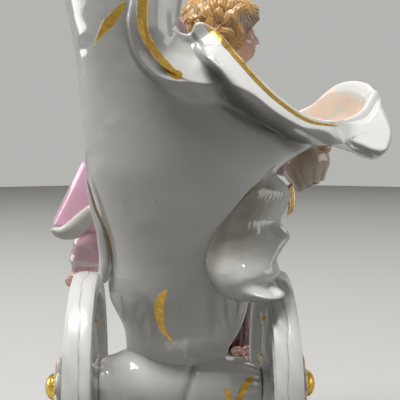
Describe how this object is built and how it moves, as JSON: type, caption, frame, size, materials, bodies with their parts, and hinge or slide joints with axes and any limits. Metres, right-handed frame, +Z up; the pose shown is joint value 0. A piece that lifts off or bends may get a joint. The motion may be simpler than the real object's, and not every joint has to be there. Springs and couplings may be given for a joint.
{
  "type": "cornucopia vase",
  "caption": "Glazed porcelain cornucopia vase with a drooping spout, carried on a two-wheeled cart and held by a coated figure on a mound, on one base.",
  "frame": {"origin": "centre of the bounding box in X and Y, at the base's underside in Z", "axes": "+X along the wheels' axle towards the drooping spout, +Y from the front of the vase towards the figure behind it, +Z up"},
  "size_m": [0.1298, 0.122, 0.2159],
  "materials": {
    "white_glaze": "clear high-gloss glaze over white porcelain, gilt lines",
    "mound_glaze": "clear high-gloss glaze over white porcelain with washes of green and brown",
    "gilding": "burnished gilding over porcelain",
    "rose_enamel": "glossy rose overglaze enamel",
    "flesh_enamel": "glossy pale overglaze enamel",
    "hair_enamel": "glossy golden-brown overglaze enamel",
    "maroon_enamel": "glossy dark maroon-brown overglaze enamel"
  },
  "bodies": {
    "root": {"base": "white_glaze", "mound": "mound_glaze", "left_wheel": "white_glaze", "left_hub_rosette": "white_glaze", "left_hub_cap": "gilding", "right_wheel": "white_glaze", "right_hub_rosette": "white_glaze", "right_hub_cap": "gilding", "axle_body": "white_glaze", "vase_body": "white_glaze", "rocaille_leaf": "white_glaze", "scroll_rib": "white_glaze", "figure_head": "flesh_enamel", "figure_hair": "hair_enamel", "coat_body": "rose_enamel", "neck_jabot": "white_glaze", "coat_tail": "rose_enamel", "coat_lining": "white_glaze", "near_sleeve": "rose_enamel", "far_sleeve": "rose_enamel", "near_cuff": "white_glaze", "far_cuff": "white_glaze", "near_hand": "flesh_enamel", "far_hand": "flesh_enamel", "gilt_drop": "gilding", "rear_breeches": "rose_enamel", "front_breeches": "rose_enamel", "rear_shoe": "white_glaze", "front_shoe": "white_glaze", "rear_stocking": "white_glaze", "front_stocking": "white_glaze", "rear_garter": "rose_enamel", "shoe_bow": "rose_enamel", "tree_stump": "maroon_enamel"}
  },
  "joints": []
}
